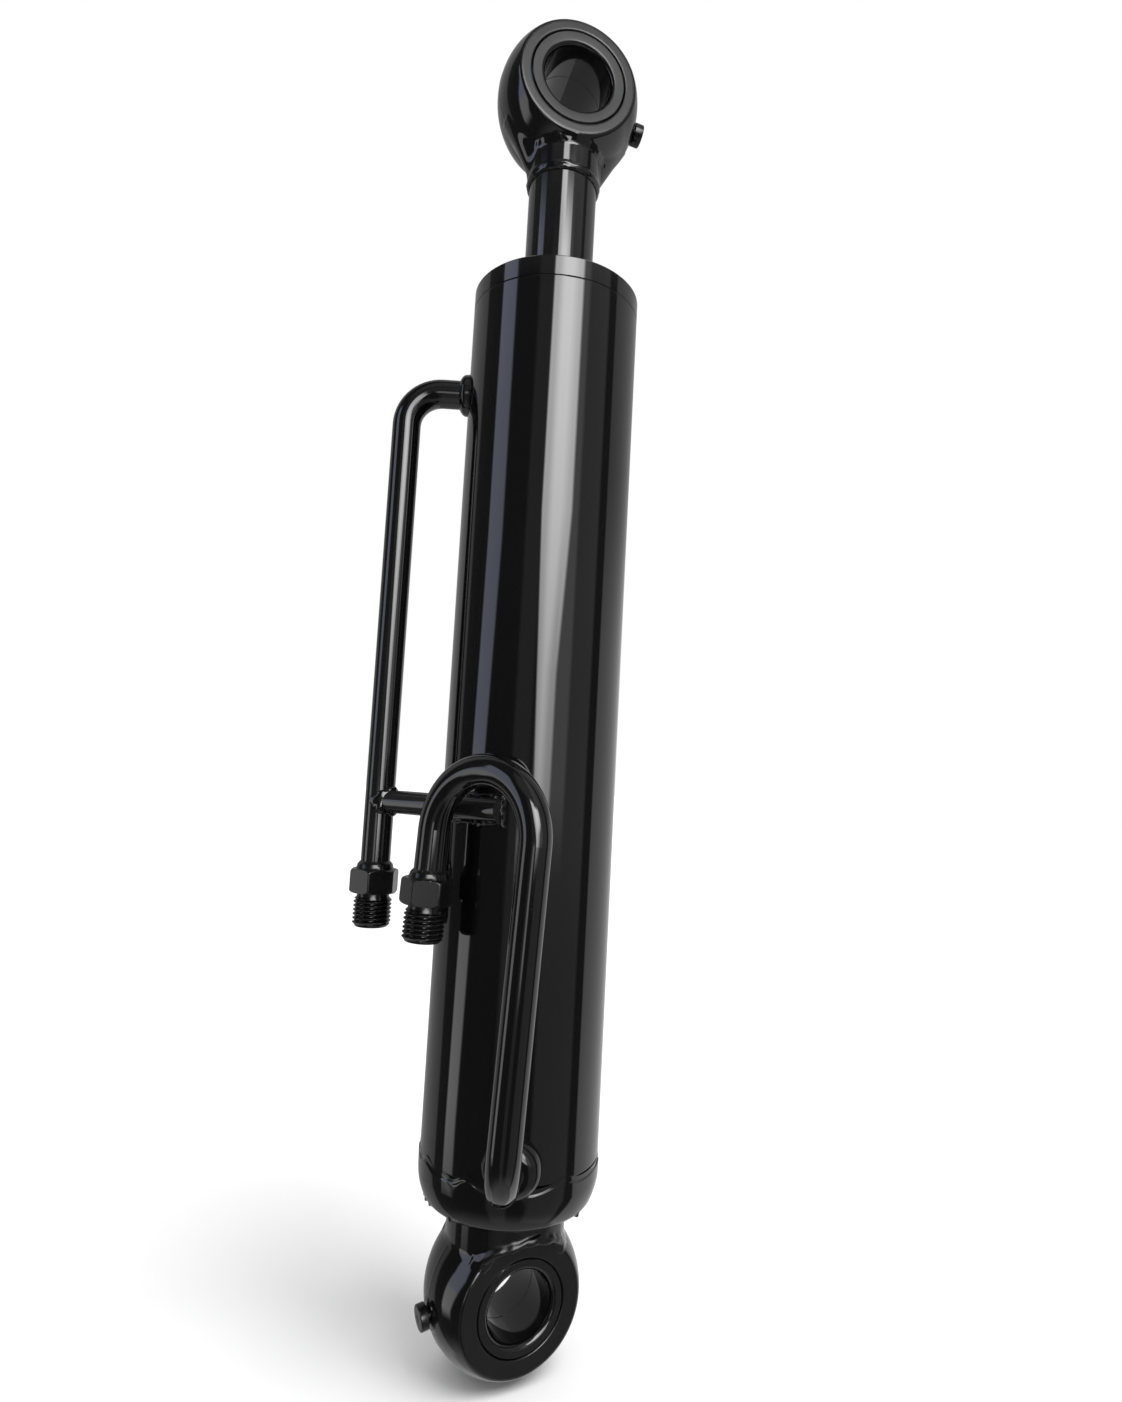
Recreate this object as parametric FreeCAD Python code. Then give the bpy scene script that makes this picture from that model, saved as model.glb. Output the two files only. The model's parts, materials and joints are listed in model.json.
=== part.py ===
import FreeCAD, Part
import math
import os

from FreeCAD import Vector

# Double-acting hydraulic cylinder with two welded oil pipes and a spherical eye at each end.
# Origin: centre of the base eye's pin bore. +Z runs along the cylinder to the rod eye,
# and Y runs along the base eye's bore. Millimetres throughout.

# ---- driving dimensions -------------------------------------------------------------
BARREL_OD = 95.0
BARREL_BORE = 80.0
ROD_DIA = 40.0
CLOSED_LENGTH = 669.0        # pin to pin with the rod fully in
STROKE = 350.0
BARREL_BOTTOM_Z = 70.0
BARREL_TOP_Z = 545.0
GLAND_FLANGE = 11.0          # flange that closes the barrel, as wide as the barrel
RUNNING_GAP = 0.05           # radial clearance of a running fit
BODY_GAP = 0.3               # clearance between faces of different bodies that don't guide

BASE_EYE_RADIUS = 41.0
BASE_EYE_WIDTH = 48.0
BASE_BUSH_OD = 47.0
BASE_PIN_DIA = 35.0
BASE_NECK_RADIUS = 31.5

ROD_EYE_RADIUS = 42.0
ROD_EYE_WIDTH = 48.0
ROD_BUSH_OD = 55.0
ROD_PIN_DIA = 40.0
ROD_NECK_RADIUS = 21.5
ROD_NECK_LENGTH = 6.0
ROD_EYE_TWIST_DEG = -12.0    # how far the rod eye is turned from the base eye at rest

PIPE_OD = 16.0
PIPE_ID = 12.0
OIL_HOLE_DIA = 9.0
HEAD_PORT_Z = 485.5
HEAD_PORT_DEG = 154.0        # direction of the port, seen from the rod end, from +X
HEAD_PIPE_RADIUS = 82.4      # barrel axis to the pipe's long leg
HEAD_ELBOW_RADIUS = 20.0
BASE_PORT_Z = 79.0
BASE_PORT_DEG = 242.0
BASE_PIPE_RADIUS = 85.5
BASE_ELBOW_RADIUS = 24.0
U_BEND_RADIUS = 32.0
U_BEND_TURN_DEG = -126.0     # direction of the U bend, counted from the base port's
U_BEND_TOP_Z = 269.0
BASE_PIPE_LEAN_DEG = 2.6     # the bent pipe leans about its port

FITTING_TOP_Z = 217.0
HEX_ACROSS_FLATS = 23.6
HEX_TURNED_DIA = 27.0
HEX_HEIGHT = 13.0
PORT_THREAD_DIA = 20.6
PORT_THREAD_LENGTH = 18.0

STAY_DIA = 12.5
STAY_Z = 250.0

BARREL_R = BARREL_OD / 2
BORE_R = BARREL_BORE / 2
ROD_R = ROD_DIA / 2
Z_AXIS = Vector(0, 0, 1)
Y_AXIS = Vector(0, 1, 0)
ORIGIN = Vector(0, 0, 0)


# ---- shape helpers ------------------------------------------------------------------
def rod_between(radius, z_low, z_high):
    """Solid cylinder on the Z axis."""
    return Part.makeCylinder(radius, z_high - z_low, Vector(0, 0, z_low))


def ring(radius_out, radius_in, z_low, z_high):
    """Plain ring on the Z axis."""
    return rod_between(radius_out, z_low, z_high).cut(rod_between(radius_in, z_low - 1, z_high + 1))


def turned(outline):
    """Solid of revolution about Z from (radius, height) points."""
    points = [Vector(radius, 0, height) for radius, height in outline]
    face = Part.Face(Part.makePolygon(points + [points[0]]))
    return face.revolve(ORIGIN, Z_AXIS, 360)


def turned_edges(edges):
    """Solid of revolution about Z from edges drawn in the XZ plane."""
    return Part.Face(Part.Wire(edges)).revolve(ORIGIN, Z_AXIS, 360)


def line(start, end):
    return Part.LineSegment(start, end).toShape()


def arc(start, middle, end):
    return Part.Arc(start, middle, end).toShape()


def xz(radius, height):
    """Point of an outline that is turned about Z."""
    return Vector(radius, 0, height)


def polar(radius, angle_deg, height=0.0):
    """Point at a radius and direction about the Z axis."""
    angle = math.radians(angle_deg)
    return Vector(radius * math.cos(angle), radius * math.sin(angle), height)


def turn(shape, angle_deg, centre=ORIGIN, axis=Z_AXIS):
    """Copy of a shape turned about an axis."""
    moved = shape.copy()
    moved.rotate(centre, axis, angle_deg)
    return moved


def shift(shape, offset):
    """Copy of a shape moved by a vector."""
    moved = shape.copy()
    moved.translate(offset)
    return moved


def lay_along(shape, start, direction):
    """Copy of a shape drawn up the Z axis, laid from start along a direction."""
    moved = shape.copy()
    moved.Placement = FreeCAD.Placement(start, FreeCAD.Rotation(Z_AXIS, direction))
    return moved


def one_solid(shape):
    """The shape's only solid, with seam edges cleaned away."""
    cleaned = shape.removeSplitter()
    if len(cleaned.Solids) != 1:
        raise ValueError("expected one solid, found %d" % len(cleaned.Solids))
    return cleaned.Solids[0]


# ---- eyes and bushes ----------------------------------------------------------------
def ball_outline(ball_radius, neck_radius, neck_top, neck_bottom):
    """Edges of a ball that runs down tangent to a straight neck below it."""
    reach = math.hypot(neck_radius, neck_top)
    direction = math.atan2(neck_top, neck_radius) + math.acos(ball_radius / reach)
    tangent = xz(ball_radius * math.cos(direction), ball_radius * math.sin(direction))
    middle = (direction + math.pi / 2) / 2
    on_arc = xz(ball_radius * math.cos(middle), ball_radius * math.sin(middle))
    return [
        line(xz(0, neck_bottom), xz(neck_radius, neck_bottom)),
        line(xz(neck_radius, neck_bottom), xz(neck_radius, neck_top)),
        line(xz(neck_radius, neck_top), tangent),
        arc(tangent, on_arc, xz(0, ball_radius)),
        line(xz(0, ball_radius), xz(0, neck_bottom)),
    ]


def across_y(shape):
    """Copy of a shape drawn up the Z axis, turned to lie along Y."""
    return turn(shape, -90, ORIGIN, Vector(1, 0, 0))


def eye(ball, neck, width, bush_od, ball_radius):
    """Ball with two machined faces, a neck and a bored hole for the bush along Y."""
    half = width / 2
    reach = 2 * ball_radius
    slab = Part.makeBox(2 * reach, width, 4 * reach, Vector(-reach, -half, -2 * reach))
    body = ball.common(slab).fuse(neck)
    face_radius = math.sqrt(ball_radius ** 2 - half ** 2)
    for side in (-1, 1):
        near, far = (half, reach) if side > 0 else (-reach, -half)
        body = body.cut(across_y(rod_between(face_radius + 1.5, near, far)))
    hole = turned([(0, -reach), (reach, -reach), (bush_od / 2 + 0.8, -half), (bush_od / 2, -half + 0.8),
                   (bush_od / 2, half - 0.8), (bush_od / 2 + 0.8, half), (reach, reach), (0, reach)])
    bore = across_y(rod_between(bush_od / 2, -reach, reach))
    chamfer = across_y(hole).common(across_y(rod_between(bush_od / 2 + 0.8, -half, half)))
    return body.cut(bore.fuse(chamfer))


def bush(outer_dia, pin_dia, width, edge, groove_depth):
    """Eye bush along Y: rounded-off bore ends and a grease groove round the middle."""
    half = width / 2
    outer = outer_dia / 2
    inner = pin_dia / 2
    groove = 1.5
    outline = [(inner, -half + edge), (inner + edge, -half), (outer - 0.8, -half), (outer, -half + 0.8),
               (outer, half - 0.8), (outer - 0.8, half), (inner + edge, half), (inner, half - edge),
               (inner, groove), (inner + groove_depth, groove), (inner + groove_depth, -groove),
               (inner, -groove)]
    return across_y(turned(outline))


def grease_plug(surface_radius, head_length):
    """Round-headed grease plug, screwed in along +X from the eye's surface."""
    head = 3.4
    end = head + 0.6 + head_length
    outline = [(0, -6), (3.5, -6), (3.5, -1), (5.5, -1), (5.5, 1.5), (3.9, 2.4), (3.9, head), (6.2, head + 0.6),
               (6.2, end - 0.6), (5.6, end), (0, end)]
    plug = turned(outline)
    return shift(turn(plug, 90, ORIGIN, Y_AXIS), Vector(surface_radius, 0, 0))


def plug_socket(surface_radius):
    """Hole that the grease plug's thread and seat fill."""
    hole = rod_between(3.5, -6, 0).fuse(rod_between(5.5, -1, 4))
    return shift(turn(hole, 90, ORIGIN, Y_AXIS), Vector(surface_radius, 0, 0))


def base_end():
    """Base eye, its bush, grease plug, weld and the domed cap that closes the barrel."""
    neck_top = 46.0
    ball = Part.makeSphere(BASE_EYE_RADIUS)
    neck = rod_between(BASE_NECK_RADIUS, 20, neck_top)
    body = eye(ball, neck, BASE_EYE_WIDTH, BASE_BUSH_OD, BASE_EYE_RADIUS)
    plug_seat = BASE_EYE_RADIUS - 2.2
    place = lambda shape: turn(shape, 180 - 9, ORIGIN, Y_AXIS)
    body = body.cut(place(plug_socket(plug_seat)))

    wide = BARREL_R + 0.5
    weld_low = BARREL_BOTTOM_Z - 9.0
    cap_edges = [
        line(xz(0, neck_top), xz(BASE_NECK_RADIUS, neck_top)),
        line(xz(BASE_NECK_RADIUS, neck_top), xz(40.5, neck_top + 0.6)),
        arc(xz(40.5, neck_top + 0.6), xz(43.5, neck_top + 1.7), xz(45.2, neck_top + 4.0)),
        arc(xz(45.2, neck_top + 4.0), xz(46.8, neck_top + 9.0), xz(wide - 0.2, weld_low)),
        line(xz(wide - 0.2, weld_low), xz(BORE_R + 2.0, weld_low)),
        line(xz(BORE_R + 2.0, weld_low), xz(BORE_R + 2.0, BARREL_BOTTOM_Z)),
        line(xz(BORE_R + 2.0, BARREL_BOTTOM_Z), xz(BORE_R, BARREL_BOTTOM_Z)),
        line(xz(BORE_R, BARREL_BOTTOM_Z), xz(BORE_R, BARREL_BOTTOM_Z + 3)),
        line(xz(BORE_R, BARREL_BOTTOM_Z + 3), xz(0, BARREL_BOTTOM_Z + 3)),
        line(xz(0, BARREL_BOTTOM_Z + 3), xz(0, neck_top)),
    ]
    weld_edges = [
        line(xz(BORE_R + 2.0, weld_low), xz(wide - 0.2, weld_low)),
        arc(xz(wide - 0.2, weld_low), xz(wide, BARREL_BOTTOM_Z - 4), xz(BARREL_R, BARREL_BOTTOM_Z)),
        line(xz(BARREL_R, BARREL_BOTTOM_Z), xz(BORE_R + 2.0, BARREL_BOTTOM_Z)),
        line(xz(BORE_R + 2.0, BARREL_BOTTOM_Z), xz(BORE_R + 2.0, weld_low)),
    ]
    neck_weld = turned([(BASE_NECK_RADIUS, neck_top - 3.0), (BASE_NECK_RADIUS, neck_top),
                        (BASE_NECK_RADIUS + 3.0, neck_top + 0.19), (BASE_NECK_RADIUS + 1.1, neck_top - 1.2)])
    spot_face = math.sqrt(BASE_EYE_RADIUS ** 2 - BASE_EYE_WIDTH ** 2 / 4) + 1.5
    neck_weld = neck_weld.cut(across_y(rod_between(spot_face, -60, 60)))
    return {
        "base_eye": one_solid(body),
        "base_eye_bush": bush(BASE_BUSH_OD, BASE_PIN_DIA, BASE_EYE_WIDTH, 5.2, 1.0),
        "base_grease_plug": place(grease_plug(plug_seat, 3.6)),
        "base_cap": turned_edges(cap_edges),
        "base_weld": turned_edges(weld_edges),
        "base_eye_weld": one_solid(neck_weld),
    }


def rod_end():
    """Rod eye with its bush, plug and weld, turned about the rod and set at the pin height."""
    neck_top = -ROD_EYE_RADIUS - ROD_NECK_LENGTH
    neck_bottom = neck_top - ROD_NECK_LENGTH
    ball = turned_edges(ball_outline(ROD_EYE_RADIUS, ROD_NECK_RADIUS, neck_top, neck_bottom))
    neck = rod_between(ROD_NECK_RADIUS, neck_bottom, -ROD_NECK_RADIUS - 10)
    body = eye(ball, neck, ROD_EYE_WIDTH, ROD_BUSH_OD, ROD_EYE_RADIUS)
    plug_seat = ROD_EYE_RADIUS - 3.0
    place_plug = lambda shape: turn(shape, 7, ORIGIN, Y_AXIS)
    body = body.cut(place_plug(plug_socket(plug_seat)))
    weld = turned([(ROD_R, neck_bottom - 1.6), (ROD_NECK_RADIUS - 0.2, neck_bottom), (ROD_R, neck_bottom)])
    pieces = {
        "rod_eye": one_solid(body),
        "rod_eye_bush": bush(ROD_BUSH_OD, ROD_PIN_DIA, ROD_EYE_WIDTH, 2.0, 1.2),
        "rod_grease_plug": place_plug(grease_plug(plug_seat, 4.6)),
        "rod_eye_weld": weld,
    }
    up = Vector(0, 0, CLOSED_LENGTH)
    return {name: shift(turn(shape, ROD_EYE_TWIST_DEG), up) for name, shape in pieces.items()}


# ---- barrel, gland and its seals ----------------------------------------------------
GLAND_TOP_Z = BARREL_TOP_Z
TUBE_TOP_Z = BARREL_TOP_Z - GLAND_FLANGE
GLAND_SHOULDER_Z = HEAD_PORT_Z + 9.0
GLAND_NOSE_Z = HEAD_PORT_Z - 2.0
WIPER_Z = (GLAND_TOP_Z - 7.0, GLAND_TOP_Z)
ROD_SEAL_Z = (GLAND_TOP_Z - 22.0, GLAND_TOP_Z - 14.0)
GUIDE_Z = (GLAND_TOP_Z - 46.0, GLAND_TOP_Z - 30.0)
O_RING_Z = (GLAND_TOP_Z - 42.0, GLAND_TOP_Z - 37.5)
BACKUP_Z = (GLAND_TOP_Z - 37.5, GLAND_TOP_Z - 36.0)


def barrel_tube():
    """Honed tube with an oil hole near each end."""
    tube = ring(BARREL_R, BORE_R, BARREL_BOTTOM_Z, TUBE_TOP_Z)
    for height, angle in ((HEAD_PORT_Z, HEAD_PORT_DEG), (BASE_PORT_Z, BASE_PORT_DEG)):
        drill = Part.makeCylinder(OIL_HOLE_DIA / 2, BARREL_R + 10, Vector(0, 0, height), polar(1, angle))
        tube = tube.cut(drill)
    return one_solid(tube)


def gland():
    """Screwed-in head: flange as wide as the barrel, seal grooves inside and out."""
    rim = 0.8
    bore = ROD_R + RUNNING_GAP
    body = turned([
        (bore, GLAND_NOSE_Z), (BORE_R - 8, GLAND_NOSE_Z), (BORE_R - 8, GLAND_SHOULDER_Z),
        (BORE_R, GLAND_SHOULDER_Z), (BORE_R, TUBE_TOP_Z), (BARREL_R, TUBE_TOP_Z),
        (BARREL_R, GLAND_TOP_Z - rim), (BARREL_R - rim, GLAND_TOP_Z), (bore, GLAND_TOP_Z),
    ])
    grooves = [
        ring(ROD_R + 6, 1, *WIPER_Z),
        ring(ROD_R + 6, 1, *ROD_SEAL_Z),
        ring(ROD_R + 3, 1, *GUIDE_Z),
        ring(BORE_R + 5, BORE_R - 3.5, O_RING_Z[0], BACKUP_Z[1]),
    ]
    for groove in grooves:
        body = body.cut(groove)
    spanner_hole = Part.makeCylinder(4.0, 6.0, Vector(36, 0, GLAND_TOP_Z - 6.0))
    for quarter in range(4):
        body = body.cut(turn(spanner_hole, 90 * quarter + 45))
    return one_solid(body)


def gland_seals():
    """Rings that sit in the gland's grooves."""
    inner = ROD_R + BODY_GAP
    wiper = turned([
        (inner, WIPER_Z[1]), (inner + 0.8, WIPER_Z[1] + 1.0), (ROD_R + 3.0, WIPER_Z[1] - 1.5),
        (ROD_R + 6, WIPER_Z[1] - 1.5), (ROD_R + 6, WIPER_Z[0]), (ROD_R + 1.2, WIPER_Z[0]),
        (ROD_R + 1.2, WIPER_Z[1] - 3.0),
    ])
    low, high = ROD_SEAL_Z
    rod_seal = turned([
        (inner, low), (ROD_R + 2.0, low), (ROD_R + 3.0, low + 3.0), (ROD_R + 4.0, low), (ROD_R + 6.0, low),
        (ROD_R + 6.0, high), (ROD_R + 1.0, high), (inner + 0.4, low + 4.0),
    ])
    o_middle = (O_RING_Z[0] + O_RING_Z[1]) / 2
    o_ring = Part.makeTorus(BORE_R - 1.75, 1.7, Vector(0, 0, o_middle))
    return {
        "rod_wiper": wiper,
        "rod_seal": rod_seal,
        "rod_guide_ring": ring(ROD_R + 3, ROD_R + RUNNING_GAP, *GUIDE_Z),
        "gland_o_ring": o_ring,
        "gland_backup_ring": ring(BORE_R, BORE_R - 3.5, *BACKUP_Z),
    }


# ---- rod, piston and the rings it carries -------------------------------------------
PISTON_LENGTH = 40.0
PISTON_LOW_Z = BARREL_BOTTOM_Z + 22.0
PISTON_TOP_Z = PISTON_LOW_Z + PISTON_LENGTH
SPIGOT_R = 14.0
ROD_TOP_Z = CLOSED_LENGTH - ROD_EYE_RADIUS - 2 * ROD_NECK_LENGTH
WEAR_RING_HEIGHT = 6.0
WEAR_RING_DEPTH = 2.5
SEAL_HEIGHT = 8.0
SEAL_DEPTH = 5.0
PISTON_R = BORE_R - BODY_GAP


def piston_grooves():
    """Name, floor radius, lower and upper height of each outer groove of the piston."""
    middle = (PISTON_LOW_Z + PISTON_TOP_Z) / 2
    return [
        ("lower_wear_ring", PISTON_R - WEAR_RING_DEPTH, PISTON_LOW_Z + 3, PISTON_LOW_Z + 3 + WEAR_RING_HEIGHT),
        ("piston_seal", PISTON_R - SEAL_DEPTH, middle - SEAL_HEIGHT / 2, middle + SEAL_HEIGHT / 2),
        ("upper_wear_ring", PISTON_R - WEAR_RING_DEPTH, PISTON_TOP_Z - 3 - WEAR_RING_HEIGHT, PISTON_TOP_Z - 3),
    ]


def piston_rings():
    """Rings that slide with the piston while the piston may turn inside them."""
    rings = {}
    for name, floor, low, high in piston_grooves():
        guided = name.endswith("wear_ring")
        outer = BORE_R - RUNNING_GAP if guided else BORE_R - BODY_GAP
        shape = ring(outer, floor + BODY_GAP, low + BODY_GAP, high - BODY_GAP)
        if guided:
            gap = Part.makeBox(BORE_R, 2.5, 3 * (high - low), Vector(20, -1.25, low - (high - low)))
            shape = shape.cut(turn(gap, 35, Vector(BORE_R, 0, low), Vector(1, 0, 0)))
        rings[name] = one_solid(shape)
    return rings


def rod_and_piston():
    """Rod with a stepped end, the piston clamped on it by a nut, and the static seal."""
    nut_low = BARREL_BOTTOM_Z + 6.0
    nut_high = PISTON_LOW_Z
    thread_top = nut_low - 1.0
    rod = turned([
        (0, thread_top), (SPIGOT_R - 1.2, thread_top), (SPIGOT_R, thread_top + 1.2), (SPIGOT_R, PISTON_TOP_Z),
        (ROD_R - 1.0, PISTON_TOP_Z), (ROD_R, PISTON_TOP_Z + 1.0), (ROD_R, ROD_TOP_Z), (0, ROD_TOP_Z),
    ])
    piston = turned([
        (SPIGOT_R, PISTON_LOW_Z), (PISTON_R - 1.5, PISTON_LOW_Z), (PISTON_R, PISTON_LOW_Z + 1.5),
        (PISTON_R, PISTON_TOP_Z - 1.5), (PISTON_R - 1.5, PISTON_TOP_Z), (SPIGOT_R, PISTON_TOP_Z),
    ])
    for _, floor, low, high in piston_grooves():
        piston = piston.cut(ring(BORE_R + 5, floor, low, high))
    o_ring_z = PISTON_TOP_Z - 12.0
    piston = piston.cut(ring(SPIGOT_R + 2.4, 1, o_ring_z - 1.6, o_ring_z + 1.6))
    nut = hex_prism(46.0, nut_low, nut_high).cut(rod_between(SPIGOT_R, nut_low - 1, nut_high + 1))
    nut = nut.common(turned([(0, nut_low), (22.5, nut_low), (26.0, nut_low + 2.0), (26.0, nut_high), (0, nut_high)]))
    return {
        "rod": rod,
        "piston": one_solid(piston),
        "piston_o_ring": Part.makeTorus(SPIGOT_R + 1.2, 1.2, Vector(0, 0, o_ring_z)),
        "piston_nut": one_solid(nut),
    }


# ---- oil pipes, fittings and the stay -----------------------------------------------
def hex_prism(across_flats, z_low, z_high, turn_deg=0.0):
    """Hexagonal bar on the Z axis; a corner points along +X when it isn't turned."""
    corner = across_flats / math.sqrt(3)
    points = [polar(corner, 60 * side + turn_deg, z_low) for side in range(7)]
    return Part.Face(Part.makePolygon(points)).extrude(Vector(0, 0, z_high - z_low))


def fitting(turn_deg):
    """Male threaded end piece welded under a pipe: weld cone, hexagon, undercut and thread."""
    hex_top = FITTING_TOP_Z - 4.0
    hex_low = hex_top - HEX_HEIGHT
    end = hex_low - PORT_THREAD_LENGTH
    thread_r = PORT_THREAD_DIA / 2
    hex_body = hex_prism(HEX_ACROSS_FLATS, hex_low, hex_top, turn_deg)
    rounding = 1.4
    turned_r = HEX_TURNED_DIA / 2
    barrel_shape = turned([(0, hex_low), (turned_r - rounding, hex_low), (turned_r, hex_low + rounding),
                           (turned_r, hex_top - rounding), (turned_r - rounding, hex_top), (0, hex_top)])
    undercut = 3.0
    stem = turned([
        (0, end), (thread_r - 1.5, end), (thread_r, end + 1.5), (thread_r, hex_low - undercut),
        (thread_r - 1.7, hex_low - undercut + 0.8), (thread_r - 1.7, hex_low), (0, hex_low),
    ])
    cone = turned([(0, hex_top), (10.6, hex_top), (PIPE_OD / 2, FITTING_TOP_Z), (0, FITTING_TOP_Z)])
    body = hex_body.common(barrel_shape).fuse([stem, cone])
    return one_solid(body.cut(rod_between(PIPE_ID / 2, end - 1, FITTING_TOP_Z + 1)))


def swept_tube(edges, start, direction):
    """Pipe that follows a chain of straight runs and tangent arcs."""
    path = Part.Wire(edges)
    tubes = []
    for diameter in (PIPE_OD, PIPE_ID):
        profile = Part.Wire(Part.makeCircle(diameter / 2, start, direction))
        tubes.append(path.makePipeShell([profile], True, True))
    return tubes[0].cut(tubes[1])


def elbow_and_leg(port_z, port_deg, leg_radius, bend_radius, up):
    """Edges from the barrel out along a port and round the elbow, with the arc's end point."""
    out = polar(1, port_deg)
    start = out * (BARREL_R - 3.0) + Vector(0, 0, port_z)
    corner = out * leg_radius + Vector(0, 0, port_z)
    bend_start = corner - out * bend_radius
    bend_end = corner + Vector(0, 0, up * bend_radius)
    centre = corner - out * bend_radius + Vector(0, 0, up * bend_radius)
    halfway = centre + (out - Vector(0, 0, up)) * (bend_radius * math.sqrt(0.5))
    edges = [line(start, bend_start), arc(bend_start, halfway, bend_end)]
    return edges, start, bend_end


def barrel_space(margin=0.0):
    """The space inside the barrel's outer surface."""
    return rod_between(BARREL_R + margin, 0, BARREL_TOP_Z)


def port_boss(port_z, port_deg, radius, height, crown):
    """Round boss on the barrel with a rounded weld edge, bored for the pipe."""
    edges = [
        line(xz(PIPE_OD / 2, 30), xz(radius, 30)),
        line(xz(radius, 30), xz(radius, BARREL_R)),
        arc(xz(radius, BARREL_R), xz(radius - crown * 0.3, BARREL_R + height * 0.65),
            xz(radius - crown, BARREL_R + height)),
        line(xz(radius - crown, BARREL_R + height), xz(PIPE_OD / 2, BARREL_R + height)),
        line(xz(PIPE_OD / 2, BARREL_R + height), xz(PIPE_OD / 2, 30)),
    ]
    boss = turn(lay_along(turned_edges(edges), ORIGIN, polar(1, port_deg)), 20, ORIGIN, polar(1, port_deg))
    return one_solid(shift(boss, Vector(0, 0, port_z)).cut(barrel_space()))


def leaned(shape):
    """The base pipe's pieces lean together about the port's own axis."""
    centre = Vector(0, 0, BASE_PORT_Z)
    return turn(shape, -BASE_PIPE_LEAN_DEG, centre, polar(1, BASE_PORT_DEG))


def pipes():
    """Both oil pipes with their bosses and threaded ends."""
    head_edges, head_start, head_turned = elbow_and_leg(
        HEAD_PORT_Z, HEAD_PORT_DEG, HEAD_PIPE_RADIUS, HEAD_ELBOW_RADIUS, -1)
    head_foot = polar(HEAD_PIPE_RADIUS, HEAD_PORT_DEG, FITTING_TOP_Z)
    head_edges.append(line(head_turned, head_foot))
    head_pipe = swept_tube(head_edges, head_start, polar(1, HEAD_PORT_DEG)).cut(barrel_space())

    base_edges, base_start, base_turned = elbow_and_leg(
        BASE_PORT_Z, BASE_PORT_DEG, BASE_PIPE_RADIUS, BASE_ELBOW_RADIUS, 1)
    bend_z = U_BEND_TOP_Z - U_BEND_RADIUS
    riser_top = polar(BASE_PIPE_RADIUS, BASE_PORT_DEG, bend_z)
    across = polar(2 * U_BEND_RADIUS, BASE_PORT_DEG + U_BEND_TURN_DEG)
    crown = riser_top + across * 0.5 + Vector(0, 0, U_BEND_RADIUS)
    drop_top = riser_top + across
    drop_foot = Vector(drop_top.x, drop_top.y, FITTING_TOP_Z)
    base_edges.append(line(base_turned, riser_top))
    base_edges.append(arc(riser_top, crown, drop_top))
    base_edges.append(line(drop_top, drop_foot))
    base_pipe = leaned(swept_tube(base_edges, base_start, polar(1, BASE_PORT_DEG))).cut(barrel_space())

    head_fitting = shift(fitting(HEAD_PORT_DEG - 30), Vector(head_foot.x, head_foot.y, 0))
    base_fitting = shift(fitting(HEAD_PORT_DEG), Vector(drop_foot.x, drop_foot.y, 0))
    return {
        "head_pipe": one_solid(head_pipe),
        "head_pipe_fitting": head_fitting,
        "head_port_boss": port_boss(HEAD_PORT_Z, HEAD_PORT_DEG, 12.0, 5.0, 3.6),
        "base_pipe": one_solid(base_pipe),
        "base_pipe_fitting": leaned(base_fitting),
        "base_port_boss": port_boss(BASE_PORT_Z, BASE_PORT_DEG, 14.5, 7.0, 4.5),
    }


def stay():
    """Round bar that holds the head pipe's long leg off the barrel, with a weld at each end."""
    axis_distance = BARREL_R - 1.0
    leg = polar(HEAD_PIPE_RADIUS, HEAD_PORT_DEG, STAY_Z)
    side = math.degrees(math.acos(axis_distance / HEAD_PIPE_RADIUS))
    touch = polar(axis_distance, HEAD_PORT_DEG + side, STAY_Z)
    direction = (touch - leg).normalize()
    length = (touch - leg).Length + 15.0
    bar = lay_along(rod_between(STAY_DIA / 2, 0, length), leg, direction)
    pipe_core = Part.makeCylinder(PIPE_OD / 2, 60, Vector(leg.x, leg.y, STAY_Z - 30))
    bar = bar.cut(barrel_space()).cut(pipe_core)

    collar = turned([(STAY_DIA / 2, 0), (STAY_DIA / 2 + 2.2, 0), (STAY_DIA / 2 + 2.2, PIPE_OD / 2 + 0.6),
                     (STAY_DIA / 2, PIPE_OD / 2 + 3.4)])
    collar = lay_along(collar, leg, direction).cut(pipe_core)
    collar = max(collar.Solids, key=lambda solid: solid.Volume)

    tip = leg + direction * (length - 8.0)
    bead = Part.makeSphere(8.6, tip)
    bead = bead.cut(barrel_space()).cut(bar)
    bead = max(bead.Solids, key=lambda solid: solid.Volume)
    return {"pipe_stay": one_solid(bar), "stay_pipe_weld": collar, "stay_barrel_weld": bead}


# ---- the whole cylinder -------------------------------------------------------------
def build():
    """Every node of the cylinder by name."""
    if PISTON_TOP_Z + STROKE > GLAND_NOSE_Z:
        raise ValueError("the piston meets the gland before the end of the stroke")
    nodes = {"barrel_tube": barrel_tube(), "gland": gland()}
    nodes.update(gland_seals())
    nodes.update(base_end())
    nodes.update(pipes())
    nodes["base_port_boss"] = one_solid(nodes["base_port_boss"].cut(nodes["base_weld"]).cut(nodes["base_cap"]))
    nodes.update(stay())
    nodes.update(rod_and_piston())
    nodes.update(piston_rings())
    nodes.update(rod_end())
    return nodes


os.makedirs("parts", exist_ok=True)
for node, shape in build().items():
    shape.exportStep(os.path.join("parts", node + ".step"))
    print("%-20s solids %d volume %.0f valid %s" % (node, len(shape.Solids), shape.Volume, shape.isValid()))
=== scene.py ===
import json
import math

import bpy
import numpy as np
from mathutils import Euler, Matrix, Vector


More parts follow.
